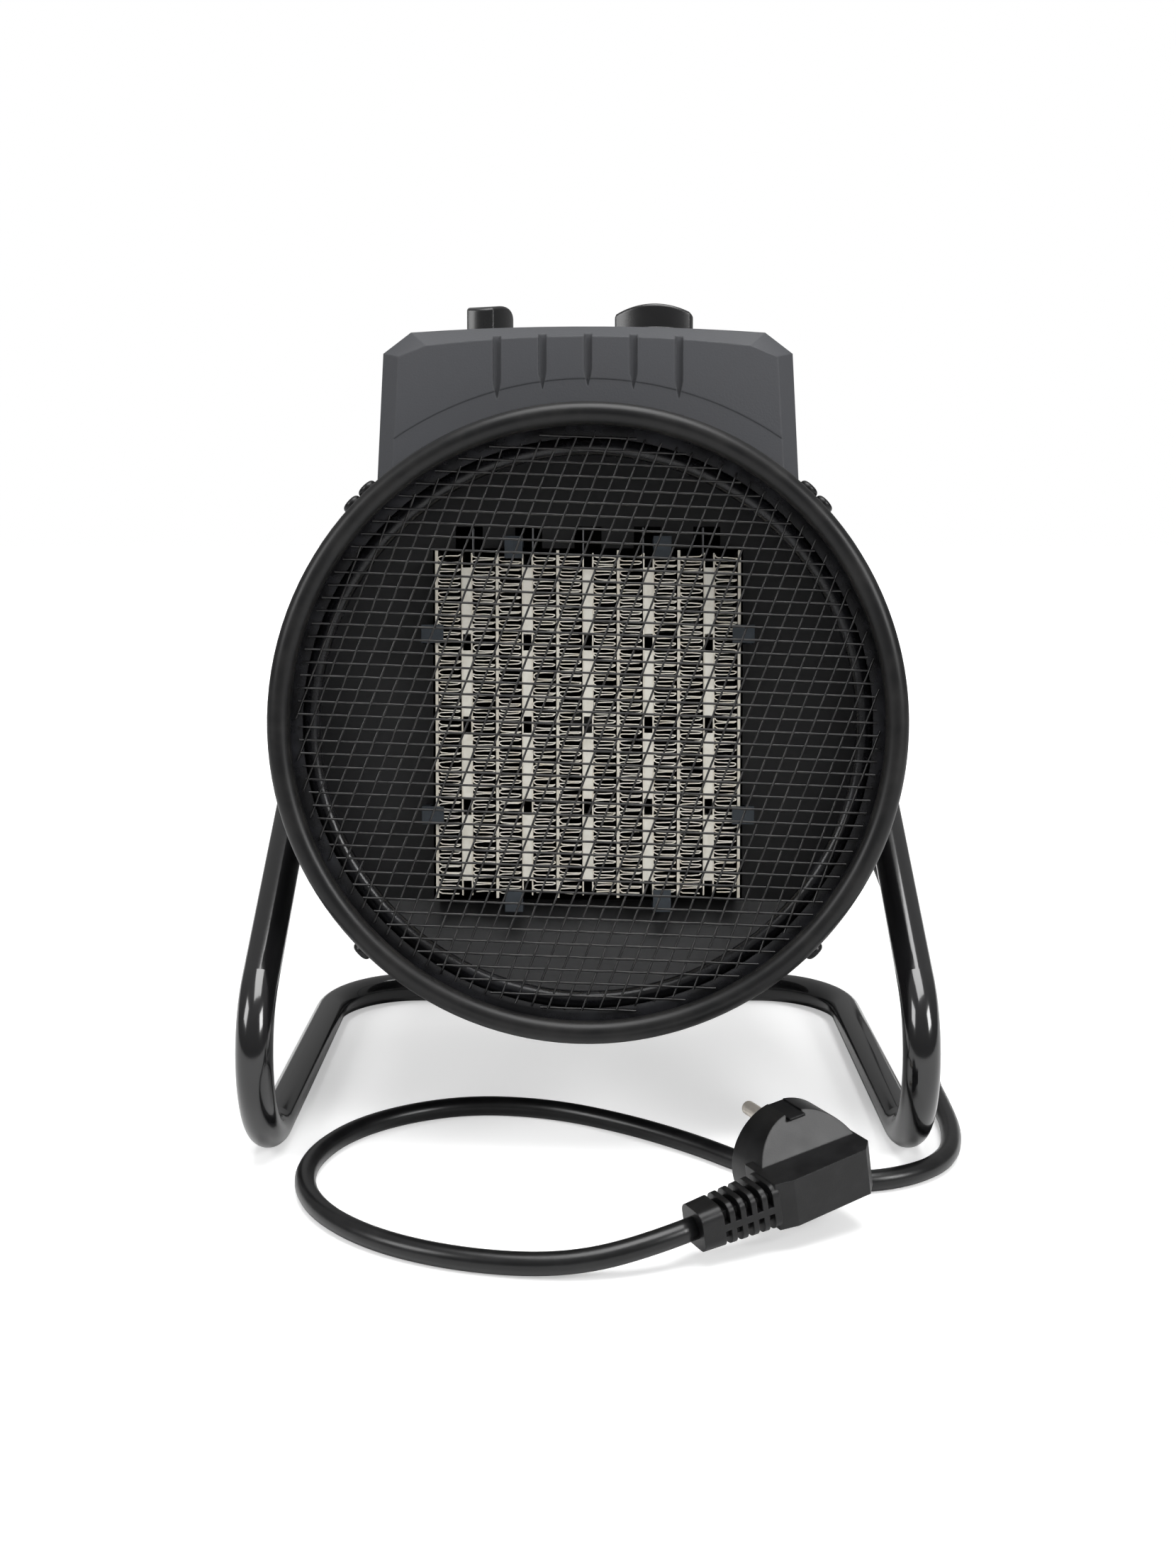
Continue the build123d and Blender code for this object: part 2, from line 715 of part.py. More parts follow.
def control_box():
    seat = rod(drum_r + box_drum_gap, -50, beyond)
    outer = box_solid(box_front_y, box_back_y, 0, box_bevel)
    inner = box_solid(box_front_y + box_wall, box_back_y - box_wall, box_wall, box_bevel)
    shell = outer - inner - seat
    brow = block(-box_foot_w, box_foot_w, box_front_y - 1, box_front_y + brow_step, drum_r - 40, box_top_z)
    shell -= brow & (rod(brow_arc_r, box_front_y - 2, box_front_y + 2))
    for i in range(groove_count):
        x = (i - (groove_count - 1) / 2) * groove_pitch
        shell -= groove(x)
    for x in (mode_knob_x, heat_knob_x):
        shell -= post(switch_neck_r + 0.1, box_top_z - 12, box_top_z + 5, x, knob_y)
        shell -= post(knob_skirt_r + 1, box_deck_z(x) - 0.001, box_top_z + 5, x, knob_y)
    shell -= rod(gland_r + 0.1, box_back_y - 20, box_back_y + 5, gland_x, gland_z)
    keep("control_box", on_drum(shell))

    screws = []
    for s in (-1, 1):
        low = (s * (box_shoulder_w - box_screw_low_in), drum_r - box_screw_low_drop)
        high = (s * (box_shoulder_w - box_screw_high_in), drum_r + box_screw_high_rise)
        for x, z in (low, high):
            hole = rod(1.55, box_back_y - box_wall - 6, box_back_y + 1, x, z)
            head = rod(2.9, box_back_y + 0.05, box_back_y + 1.9, x, z)
            shank = rod(1.5, box_back_y - box_wall - 3, box_back_y + 0.1, x, z)
            parts["control_box"] -= on_drum(hole)
            screws.append(on_drum(head + shank))
    keep("control_box_screws", *screws)


def box_deck_z(x):
    """Height of the flat seat under a knob at x, just under the arched top."""
    rise = box_top_z - box_crown_z
    radius = (box_crown_w ** 2 + rise ** 2) / (2 * rise)
    edge = abs(x) + knob_skirt_r + 1
    return box_top_z - radius + math.sqrt(radius ** 2 - edge ** 2)


def groove(x):
    """One groove of the front face: round top, straight sides and a pointed foot."""
    foot_z = math.sqrt(groove_arc_r ** 2 - x ** 2)
    half = groove_w / 2
    top_z = box_top_z - groove_top_cut
    outline = [(x, foot_z), (x + half, foot_z + groove_tip), (x + half, top_z + 3), (x - half, top_z + 3),
               (x - half, foot_z + groove_tip)]
    cutter = extrude(front_face(outline, box_front_y - 2), amount=2 + groove_deep, dir=(0, 1, 0))
    lid = rod(groove_w, box_front_y - 3, box_front_y + groove_deep + 1, x, top_z + 3)
    return cutter - lid


# Knobs and what they turn


def knob_solid(x, turn):
    """A round skirt with a full width grip bar, bowed at its sides and top, bored for its spindle."""
    base_z = box_deck_z(x) + knob_gap
    skirt = post(knob_skirt_r, base_z, base_z + knob_skirt_h)
    bar = post(knob_skirt_r, base_z, base_z + knob_h)
    for s in (-1, 1):
        bar &= post(knob_side_r, base_z, base_z + knob_h, 0, s * (knob_side_r - knob_bar_w / 2))
    bar &= rod(knob_crown_r, -knob_skirt_r, knob_skirt_r, 0, base_z + knob_h - knob_crown_r)
    bar = fillet(bar.faces().sort_by(Axis.Z)[-1].edges(), knob_edge)
    solid = skirt + bar
    solid -= post(spindle_r, base_z - 1, base_z + knob_h - 3)
    return Pos(x, knob_y, 0) * (Location((0, 0, 0), (0, 0, turn)) * solid)


def knobs():
    for name, x, turn in (("mode", mode_knob_x, mode_knob_turn), ("thermostat", heat_knob_x, heat_knob_turn)):
        keep(name + "_knob", on_drum(knob_solid(x, turn)))
        base_z = box_deck_z(x) + knob_gap
        spindle = post(spindle_r, base_z - spindle_drop, base_z + knob_h - 3.1, x, knob_y)
        keep(name + "_spindle", on_drum(spindle))
        inner_top = box_deck_z(x) - box_wall
        case = block(x - switch_side / 2, x + switch_side / 2, knob_y - switch_side / 2, knob_y + switch_side / 2,
                     inner_top - switch_h, inner_top - 1.0)
        seat = rod(drum_r + 0.4, -50, beyond)
        neck = post(switch_neck_r, inner_top - 1.2, inner_top + switch_neck_h, x, knob_y)
        hole = post(spindle_hole_r, base_z - spindle_drop - 0.5, base_z + 5, x, knob_y)
        keep(name + "_switch", on_drum((case - seat) + neck - hole))


def wiring():
    """Terminal block, overheat cut-out and the inner lead from the gland."""
    seat = rod(drum_r + 0.3, -50, beyond)
    back_y = box_back_y - box_wall - inner_lead_len
    left = gland_x - terminal_w + 6
    low = gland_z - 6
    base = block(left, left + terminal_w, back_y - terminal_d, back_y, low, low + terminal_h) - seat
    for i in range(3):
        base -= post(2.2, low + terminal_h - 4, low + terminal_h + 1, left + 5 + i * 10, back_y - terminal_d / 2)
    keep("terminal_block", on_drum(base))
    keep("inner_lead", on_drum(rod(cord_r - 0.6, back_y, box_back_y - box_wall - 0.05, gland_x, gland_z)))
    cutout_y = baffle_y + baffle_t
    body = rod(7, cutout_y + 0.05, cutout_y + 9, 0, -element_height / 2 - 18)
    tabs = block(-7, 7, cutout_y + 9, cutout_y + 16, -element_height / 2 - 19, -element_height / 2 - 18)
    keep("overheat_cutout", on_drum(body + tabs))


def gland():
    """Rubber sleeve that carries the cord out of the box's back wall."""
    y0 = box_back_y + 0.05
    flange = rod(gland_flange_r, y0, y0 + gland_flange_t, gland_x, gland_z)
    plug_in = rod(gland_r, box_back_y - box_wall - 0.05, y0, gland_x, gland_z)
    sleeve = Location((gland_x, y0 + gland_len / 2, gland_z), (-90, 0, 0)) * Cone(gland_r, gland_tip_r, gland_len)
    keep("cord_gland", on_drum(flange + plug_in + sleeve))


# Pivots


def pivots():
    bolts = []
    spacers = []
    washers = []
    nuts = []
    inner_face = leg_x - ear_t / 2
    outer_face = leg_x + ear_t / 2
    drum_body = rod(drum_r + 0.02, -50, beyond)
    for s in (-1, 1):
        hole = side_rod(bolt_r + bolt_clear, 0, s * 200, rim_to_pivot)
        spacer = side_rod(spacer_r, s * (drum_r - 3), s * (inner_face - 2 * washer_gap - washer_t), rim_to_pivot)
        spacers.append(on_drum(spacer - drum_body - hole))
        x0 = outer_face + washer_gap
        for x in (inner_face - washer_gap - washer_t, x0):
            ring = side_rod(spacer_r - 0.5, s * x, s * (x + washer_t), rim_to_pivot)
            washers.append(on_drum(ring - hole))
        head_x = x0 + washer_t + 0.05
        head = side_rod(bolt_head_r, s * head_x, s * (head_x + bolt_head_h), rim_to_pivot)
        outer_edge = head.edges().sort_by(Axis.X)[-1 if s > 0 else 0]
        head = fillet([outer_edge], bolt_head_h * 0.7)
        shank = side_rod(bolt_r, s * (inner_r - bolt_end_in), s * (head_x + 0.5), rim_to_pivot)
        hex_plane = Plane(origin=(s * (head_x + bolt_head_h), rim_to_pivot, 0), z_dir=(-s, 0, 0))
        socket = extrude(hex_plane * RegularPolygon(2.9, 6), amount=2.2)
        bolts.append(on_drum(head + shank - socket))
        nut_plane = Plane(origin=(s * (inner_r - 2.2), rim_to_pivot, 0), z_dir=(-s, 0, 0))
        nut = extrude(nut_plane * RegularPolygon(nut_side_r, 6), amount=nut_h)
        seat = side_rod(nut_side_r - 0.8, s * (inner_r - 2.2), s * (inner_r - 0.6), rim_to_pivot)
        nuts.append(on_drum(nut + seat - hole))
    keep("pivot_bolts", *bolts)
    keep("pivot_spacers", *spacers)
    keep("pivot_washers", *washers)
    keep("pivot_nuts", *nuts)


# Cord and plug


def gland_exit():
    """The point where the cord leaves the gland, and the direction it leaves in."""
    tip = drum_place * Location((gland_x, box_back_y + 0.05 + gland_len + 0.1, gland_z))
    spot = tip.position
    way = Vector(0, math.cos(tilt), -math.sin(tilt))
    return spot, way


def plug_frame():
    """The plug's place. Local +X runs to the cord, +Y the way the pins point, +Z across the pins."""
    heading = Location((plug_x, plug_y, 0), (0, 0, 180 + plug_heading))
    lift = plug_head_r
    return heading * Location((0, 0, lift), (180, 0, 0)) * Location((0, 0, 0), (0, -plug_dip, 0))


def plug_cord_end():
    """The point where the cord enters the plug's neck, and the direction from there."""
    frame = plug_frame()
    x = plug_block_long + plug_neck_len
    y = -plug_head_len - plug_neck_back
    spot = (frame * Location((x + 0.1, y, 0))).position
    back = (frame * Location((x + 10.1, y, 0))).position
    return spot, (back - spot).normalized()


def cord_points():
    """The cord's route, from the gland to the plug, in the stand's frame."""
    start, way = gland_exit()
    end, out = plug_cord_end()
    low = cord_r
    route = (
        (59, 141, 222.5),
        (64, 156, 206),
        (75, 164, 180),
        (90, 166, 151),
        (104, 165, 126),
        (120, 163, 100),
        (138, 157, 64),
        (150, 145, 32),
        (155, 124, low + 6),
        (154, 96, low),
        (149, 60, low),
        (141, 21, low),
        (134, -18, low),
        (133.5, -43, low),
        (132, -68, low),
        (126, -90, low),
        (113, -104, low),
        (94, -111.5, low),
        (73, -109, low),
        (55, -97, low),
        (38, -79, low),
        (14, -60, low),
        (-13, -45.5, low),
        (-42, -41, low),
        (-67, -49.5, low),
        (-86, -66, low),
        (-96, -89, low),
        (-96, -113, low),
        (-86, -135, low),
        (-68, -153, low),
        (-45, -165, low),
        (-20, -171, low + 0.2),
        (0, -172.3, low + 2),
    )
    first = [start, start + way * 16]
    last = [end + out * 14, end]
    return first + [Vector(*p) for p in route] + last


def cord():
    points = cord_points()
    runs = [(b - a).length for a, b in zip(points[:-1], points[1:])]
    radii = []
    for i in range(1, len(points) - 1):
        before = points[i] - points[i - 1]
        after = points[i + 1] - points[i]
        turn = math.radians(before.get_angle(after))
        radii.append(0.45 * min(runs[i - 1], runs[i]) / math.tan(turn / 2))
    print("cord runs", [round(r) for r in runs])
    print("cord radii over diameter", [round(r / cord_d, 1) for r in radii])
    path = FilletPolyline(*points, radius=radii)
    way = points[1] - points[0]
    face = Plane(origin=points[0], z_dir=way) * Circle(cord_r)
    tube = sweep(face, path=path)
    length = path.length
    print("cord length", round(length, 1), "volume over section", round(tube.volume / (math.pi * cord_r ** 2), 1))
    keep("power_cord", tube)


def plug():
    """Side entry mains plug: round head, grip block, ribbed neck, two pins and earth springs."""
    frame = plug_frame()
    head_y0 = -plug_head_len
    head = rod(plug_head_r, head_y0, 0)
    head = chamfer(head.edges().sort_by(Axis.Y)[-1:], 1.0)
    half = plug_block_t / 2
    for s in (-1, 1):
        slope = [(head_y0 - 1, s * half), (head_y0, s * half), (head_y0 + plug_facet, s * (plug_head_r + 0.5)),
                 (head_y0 - 1, s * (plug_head_r + 0.5))]
        wire = Wire(Polyline([Vector(-plug_head_r - 1, y, z) for y, z in slope], close=True))
        head -= extrude(Face(wire), amount=2 * plug_head_r + 2, dir=(1, 0, 0))
    back_y = head_y0 - plug_block_back
    grip_points = [
        (-plug_block_long + 2, head_y0 + 6), (plug_block_long, head_y0 + 6), (plug_block_long, back_y + 1.5),
        (plug_block_long - 6, back_y), (-plug_block_long + 6, back_y + 1.5), (-plug_block_long + 2, back_y + 6),
    ]
    grip_wire = Wire(Polyline([Vector(x, y, -half) for x, y in grip_points], close=True))
    grip = extrude(Face(grip_wire), amount=plug_block_t, dir=(0, 0, 1))
    neck_y = -plug_head_len - plug_neck_back
    near = Plane(origin=(plug_block_long - 1, neck_y, 0), z_dir=(1, 0, 0)) * RectangleRounded(
        plug_neck_w, plug_neck_w, 3.5)
    far = Plane(origin=(plug_block_long + plug_neck_len, neck_y, 0), z_dir=(1, 0, 0)) * RectangleRounded(
        plug_neck_end_w, plug_neck_end_w, 3.5)
    neck = loft([near.face(), far.face()], ruled=True)
    for i in range(plug_rib_count):
        x = plug_block_long + 1.5 + i * (plug_neck_len - 7) / plug_rib_count
        cutter = block(x, x + plug_rib_gap, neck_y - 20, neck_y + 20, -20, 20)
        spine = block(x - 1, x + 4, neck_y - plug_rib_web, neck_y + plug_rib_web, -plug_rib_web, plug_rib_web)
        seam = block(x - 1, x + 4, neck_y - 20, neck_y + 20, -plug_seam_w / 2, plug_seam_w / 2)
        neck -= cutter - spine - seam
    body = head + grip + neck
    for s in (-1, 1):
        body -= block(-earth_w / 2, earth_w / 2, -14, 1, s * (plug_head_r - 1.6), s * (plug_head_r + 2))
        body -= rod(pin_root_r, -pin_root, 1, 0, s * pin_spacing / 2)
    keep("plug_body", frame * body)
    pins = []
    springs = []
    for s in (-1, 1):
        pin = rod(pin_r, pin_shoulder, pin_len, 0, s * pin_spacing / 2)
        pin = fillet(pin.edges().sort_by(Axis.Y)[-1:], 1.4)
        pin += rod(pin_root_r, -pin_root, pin_shoulder, 0, s * pin_spacing / 2)
        pins.append(frame * pin)
        z0 = s * (plug_head_r - 1.55)
        springs.append(frame * block(-earth_w / 2 + 0.1, earth_w / 2 - 0.1, -13.9, -0.6, z0, z0 + s * earth_t))
    keep("plug_pins", *pins)
    keep("plug_earth_springs", *springs)


def main():
    stand()
    drum()
    rim_screws()
    front_guard()
    heating_element()
    baffle()
    fan()
    motor()
    rear_guard()
    control_box()
    knobs()
    wiring()
    gland()
    pivots()
    plug()
    cord()
    os.makedirs("parts", exist_ok=True)
    for name, shape in parts.items():
        export_step(shape, f"parts/{name}.step")


main()
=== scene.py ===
import json
import math
import random

import bmesh
import bpy
from bpy.props import (FloatProperty, FloatVectorProperty, IntProperty, PointerProperty,
                       StringProperty)
from mathutils import Matrix, Vector


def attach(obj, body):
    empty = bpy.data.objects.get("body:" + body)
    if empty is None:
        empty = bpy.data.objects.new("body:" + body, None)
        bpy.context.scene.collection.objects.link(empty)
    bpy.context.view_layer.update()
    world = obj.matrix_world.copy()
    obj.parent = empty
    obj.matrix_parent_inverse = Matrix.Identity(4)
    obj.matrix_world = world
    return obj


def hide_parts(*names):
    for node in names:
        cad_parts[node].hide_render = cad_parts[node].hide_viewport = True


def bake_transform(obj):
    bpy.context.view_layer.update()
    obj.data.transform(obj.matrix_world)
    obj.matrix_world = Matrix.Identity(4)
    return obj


bl_info = {
    "name": "Drum Fan Heater",
    "version": (1, 0, 0),
    "blender": (4, 5, 0),
    "location": "3D Viewport > Sidebar > Heater",
    "description": "Dresses a portable drum fan heater on a tube stand",
    "category": "Object",
}

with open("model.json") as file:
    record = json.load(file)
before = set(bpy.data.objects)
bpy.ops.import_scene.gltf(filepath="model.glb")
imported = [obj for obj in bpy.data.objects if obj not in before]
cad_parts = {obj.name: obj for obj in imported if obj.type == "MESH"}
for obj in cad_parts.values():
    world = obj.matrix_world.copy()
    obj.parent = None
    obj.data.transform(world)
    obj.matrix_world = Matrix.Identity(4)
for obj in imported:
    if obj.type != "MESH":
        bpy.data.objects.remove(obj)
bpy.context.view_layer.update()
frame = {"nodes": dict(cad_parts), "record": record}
joints = {joint["name"]: joint for joint in frame["record"]["behaviour"]["joints"]}
MM = 0.001

# From the rim's centre back to the fan's joint, in millimetres.
FAN_BACK = 92
# Segments of a full turn round the drum.
ROUND = 128


def drum_place():
    """The matrix from the drum's own axes, (across, back along its axis, up), to the floor's."""
    back = Vector(joints["fan_spin"]["axis"]).normalized()
    across = Vector((1, 0, 0))
    up = across.cross(back)
    centre = Vector(joints["fan_spin"]["pos_m"]) - back * FAN_BACK * MM
    turn = Matrix((across, back, up)).transposed().to_4x4()
    return Matrix.Translation(centre) @ turn


DRUM = drum_place()


class HeaterSizes(bpy.types.PropertyGroup):
    wire: FloatProperty(
        name="Wire", description="Thickness of the mesh wire", default=0.8 * MM, unit="LENGTH"
    )
    mesh_radius: FloatProperty(
        name="Mesh radius", description="Radius of the woven front mesh", default=100.4 * MM,
        unit="LENGTH"
    )
    mesh_depth: FloatProperty(
        name="Mesh depth", description="How far the mesh sits behind the rim's centre",
        default=6 * MM, unit="LENGTH"
    )
    row_pitch: FloatProperty(
        name="Row pitch", description="Distance between the level wires", default=4.5 * MM,
        unit="LENGTH"
    )
    lean_pitch: FloatProperty(
        name="Lean pitch", description="Distance between the leaning wires", default=6.0 * MM,
        unit="LENGTH"
    )
    row_tilt: FloatProperty(
        name="Row tilt", description="Fall of the level wires to the right",
        default=math.radians(2.2), subtype="ANGLE"
    )
    lean: FloatProperty(
        name="Lean", description="Lean of the other wires from upright",
        default=math.radians(21), subtype="ANGLE"
    )
    weave: FloatProperty(
        name="Weave", description="How far a wire bends at each crossing", default=0.3 * MM,
        unit="LENGTH"
    )
    column_pitch: FloatProperty(
        name="Column pitch", description="Distance between the element's columns",
        default=22 * MM, unit="LENGTH"
    )
    columns: IntProperty(
        name="Columns", description="Number of columns in the element", default=5, min=1
    )
    stone: FloatProperty(
        name="Stone", description="Width of a stone with its two plates", default=4 * MM,
        unit="LENGTH"
    )
    divider: FloatProperty(
        name="Divider", description="Thickness of a divider", default=1 * MM, unit="LENGTH"
    )
    folds: IntProperty(
        name="Folds", description="Folds of a fin strip on each side", default=48, min=4
    )
    fin_height: FloatProperty(
        name="Fin height", description="Height of a fin strip", default=123.4 * MM, unit="LENGTH"
    )
    fin_front: FloatProperty(
        name="Fin front", description="Front edge of the fins, behind the rim",
        default=35.9 * MM, unit="LENGTH"
    )
    fin_back: FloatProperty(
        name="Fin back", description="Back edge of the fins", default=50.1 * MM, unit="LENGTH"
    )
    fin_sheet: FloatProperty(
        name="Fin sheet", description="Thickness of the fin strip", default=0.36 * MM,
        unit="LENGTH"
    )
    cord: FloatProperty(
        name="Cord", description="Diameter of the cord", default=7.2 * MM, unit="LENGTH"
    )


class HeaterColours(bpy.types.PropertyGroup):
    stand: StringProperty(
        name="Stand", description="Colour of the stand, as sRGB hex", default="0e0e0f"
    )
    drum: StringProperty(
        name="Drum", description="Colour of the drum, as sRGB hex", default="151516"
    )
    rim: StringProperty(
        name="Rim", description="Colour of the rim, as sRGB hex", default="0d0d0e"
    )
    box: StringProperty(
        name="Box", description="Colour of the control box, as sRGB hex", default="3c3d40"
    )
    cord: StringProperty(
        name="Cord", description="Colour of the cord, as sRGB hex", default="0a0a0b"
    )
    lamp: FloatVectorProperty(
        name="Lamp", description="Colour of the lamps", default=(1, 1, 1), subtype="COLOR"
    )


# Colours and materials

# The worn colour comes in between these levels of the patch noise.
PATCH_START = 0.45
PATCH_FULL = 0.8
# Millimetres over which the painted shade colour takes over.
PAINTED_SHADE_FADE = 1.2
# Painted shade: a dark colour that stands for the shade between the element's fins,
# and where it starts behind the rim, in millimetres.
PAINTED_SHADE_COLOUR = "1d1b18"
PAINTED_SHADE_FROM = 36.0


def linear(code):
    """An sRGB hex colour as linear red, green, blue and alpha."""
    parts = [int(code[i:i + 2], 16) / 255 for i in (0, 2, 4)]
    return [p / 12.92 if p <= 0.04045 else ((p + 0.055) / 1.055) ** 2.4 for p in parts] + [1.0]


def add(tree, kind, settings=None, links=None):
    """Adds a node, sets its attributes and inputs, and links other nodes' outputs to it."""
    made = tree.nodes.new(kind)
    for name, value in (settings or {}).items():
        if isinstance(name, str) and hasattr(made, name):
            setattr(made, name, value)
        else:
            made.inputs[name].default_value = value
    for name, source in (links or {}).items():
        tree.links.new(source, made.inputs[name])
    return made


def finish_of(name, colour, worn, rough, metallic=0.0, grain=0.6, grain_height=0.02, patch=18.0,
              spread=0.3, edge=0.0, coat=0.0, specular=0.5, rough_spread=0.12, deep=None,
              painted_shade_from=0.0):
    """A material with patches of a second colour, a fine grain in its relief, and softened edges.
    Sizes are in millimetres: grain is the width of a grain, patch the width of a patch, edge a
    rounding. Behind the given depth, measured back from the rim, a deep colour takes over: painted
    shade, which stands for the shade deep inside a part."""
    material = bpy.data.materials.new(name)
    material.use_nodes = True
    tree = material.node_tree
    tree.nodes.clear()
    place = add(tree, "ShaderNodeTexCoord").outputs["Object"]
    patches = add(tree, "ShaderNodeTexNoise",
                  {"Scale": 1 / (patch * MM), "Detail": 4.0, "Roughness": 0.6},
                  {"Vector": place})
    choice = add(tree, "ShaderNodeMapRange",
                 {"From Min": PATCH_START, "From Max": PATCH_FULL, "To Max": spread},
                 {"Value": patches.outputs["Fac"]})
    tint = add(tree, "ShaderNodeMix",
               {"data_type": "RGBA", 6: linear(colour), 7: linear(worn)},
               {0: choice.outputs["Result"]})
    paint = tint.outputs[2]
    # Painted shade: behind the given depth a dark colour takes over the paint, standing for the
    # shade deep inside the part.
    if deep:
        back = DRUM.to_3x3() @ Vector((0, 1, 0))
        along = add(tree, "ShaderNodeVectorMath", {"operation": "DOT_PRODUCT", 1: back},
                    {0: place})
        start = back.dot(DRUM.translation) + painted_shade_from * MM
        depth = add(tree, "ShaderNodeMapRange",
                    {"From Min": start, "From Max": start + PAINTED_SHADE_FADE * MM},
                    {"Value": along.outputs["Value"]})
        paint = add(tree, "ShaderNodeMix", {"data_type": "RGBA", 7: linear(deep)},
                    {0: depth.outputs["Result"], 6: paint}).outputs[2]
    fine = add(tree, "ShaderNodeTexNoise",
               {"Scale": 1 / (grain * MM), "Detail": 3.0, "Roughness": 0.55},
               {"Vector": place})
    gloss = add(tree, "ShaderNodeMapRange",
                {"To Min": rough - rough_spread / 2, "To Max": rough + rough_spread / 2},
                {"Value": patches.outputs["Fac"]})
    relief = add(tree, "ShaderNodeBump", {"Strength": 1.0, "Distance": grain_height * MM},
                 {"Height": fine.outputs["Fac"]})
    if edge:
        rounded = add(tree, "ShaderNodeBevel", {"samples": 4, "Radius": edge * MM})
        tree.links.new(rounded.outputs["Normal"], relief.inputs["Normal"])
    shader = add(tree, "ShaderNodeBsdfPrincipled",
                 {"Metallic": metallic, "Coat Weight": coat, "Specular IOR Level": specular},
                 {"Base Color": paint, "Roughness": gloss.outputs["Result"],
                  "Normal": relief.outputs["Normal"]})
    add(tree, "ShaderNodeOutputMaterial", {}, {"Surface": shader.outputs["BSDF"]})
    return material


def stand_enamel(colours):
    """Powder coated steel tube: a deep black gloss with a faint orange peel."""
    return finish_of("stand_enamel", colours.stand, "1b1b1c", 0.15, grain=1.6, grain_height=0.01,
                     patch=40, coat=0.35, rough_spread=0.06)


def drum_enamel(colours):
    """Painted sheet steel: satin black."""
    return finish_of("drum_enamel", colours.drum, "202021", 0.4, grain=0.9, grain_height=0.01,
                     patch=30, specular=0.35)


def rim_enamel(colours):
    """Painted rolled bead: satin black, rubbed a little paler in patches by handling."""
    return finish_of("rim_enamel", colours.rim, "242322", 0.38, grain=1.2, grain_height=0.012,
                     patch=14, spread=0.6, rough_spread=0.18, specular=0.28)


def mesh_coating(colours):
    """Dark coated wire, worn paler in short patches."""
    return finish_of("mesh_coating", "0f0f10", "302f2e", 0.3, grain=0.5, patch=2.4, spread=0.9,
                     specular=0.5)


def liner_steel(colours):
    """Dark sheet that catches the light along its rolled edge."""
    return finish_of("liner_steel", "121214", "34353a", 0.27, metallic=0.2, grain=1.0, patch=12,
                     spread=0.6, specular=0.6)


def baffle_steel(colours):
    """Dull black coated sheet round the element."""
    return finish_of("baffle_steel", "111113", "1e1e20", 0.5, grain=0.8, patch=25)


def clip_nylon(colours):
    """Dark glass filled nylon with a matt skin."""
    return finish_of("clip_nylon", "2c3238", "48525c", 0.45, grain=0.5, patch=6, edge=0.4)


def stone_ceramic(colours):
    """Fired ceramic: warm white, with scorched and metallised patches."""
    return finish_of("stone_ceramic", "e3e0d6", "b5ab97", 0.5, grain=0.7, patch=5, spread=0.5,
                     edge=0.3)


def fin_aluminium(colours):
    """Mill finish aluminium strip: bright front edges, warmed here and there by heat. Behind
    them a painted shade colour takes over, standing for the shade where a tight fold lets in
    little light."""
    return finish_of("fin_aluminium", "f0ece0", "c9b898", 0.4, metallic=0.15, grain=0.8,
                     grain_height=0.015, patch=7, spread=0.6, deep=PAINTED_SHADE_COLOUR, painted_shade_from=PAINTED_SHADE_FROM)


def plate_aluminium(colours):
    """Rolled aluminium sheet: a little duller than the fins, with the same painted shade colour
    behind its front edge, standing for the shade between the folds.
    """
    return finish_of("plate_aluminium", "dfdace", "b8ab92", 0.4, metallic=0.15, grain=0.6, patch=8,
                     spread=0.5, deep=PAINTED_SHADE_COLOUR, painted_shade_from=PAINTED_SHADE_FROM)


def zinc_plate(colours):
    """Zinc plated pressed steel: grey with a soft mottled sheen."""
    return finish_of("zinc_plate", "9a9b9d", "7c7d80", 0.38, metallic=0.95, grain=1.2, patch=5,
                     spread=0.6)


def black_oxide(colours):
    """Blackened steel screws: nearly black with a low sheen."""
    return finish_of("black_oxide", "121213", "2a2a2b", 0.34, metallic=0.5, grain=0.7, patch=4,
                     edge=0.3)


def fan_nylon(colours):
    """Moulded nylon fan: black and smooth."""
    return finish_of("fan_nylon", "1d1d1f", "29292b", 0.42, grain=0.8, patch=20, edge=0.3)


def core_lamination(colours):
    """Stacked steel plates of the motor, under varnish: dark grey with brown patches."""
    return finish_of("core_lamination", "4a4c50", "35322e", 0.5, metallic=0.7, grain=0.5, patch=6,
                     spread=0.7)


def coil_tape(colours):
    """Taped copper winding: amber varnish over cloth tape."""
    return finish_of("coil_tape", "8a4a22", "5e3016", 0.5, grain=0.7, grain_height=0.05, patch=3,
                     spread=0.8)


def sintered_bronze(colours):
    """Oil filled bronze bush: brown gold and a little rough."""
    return finish_of("sintered_bronze", "b08a4a", "8a6a38", 0.4, metallic=0.9, grain=0.4, patch=4)


def box_abs(colours):
    """Moulded ABS with a fine spark eroded grain, drawn coarser than life, at 0.7 mm, to show."""
    return finish_of("box_abs", colours.box, "3a3a3c", 0.5, grain=0.7, grain_height=0.05, patch=22,
                     spread=0.4, edge=0.9, specular=0.3)


def knob_abs(colours):
    """Polished moulded ABS: smooth black that shows the lamps as soft bands."""
    return finish_of("knob_abs", "101011", "1c1c1d", 0.26, grain=1.5, grain_height=0.006, patch=12,
                     edge=0.7)


def pale_thermoset(colours):
    """Cream thermoset of the switch bodies and terminal block."""
    return finish_of("pale_thermoset", "d8d2c2", "c2b9a4", 0.45, grain=0.6, patch=8, edge=0.3)


def cord_pvc(colours):
    """Extruded PVC sheath: black, satin, with faint scuffs."""
    return finish_of("cord_pvc", colours.cord, "1b1b1c", 0.3, grain=1.1, grain_height=0.015,
                     patch=9, spread=0.5, specular=0.4)


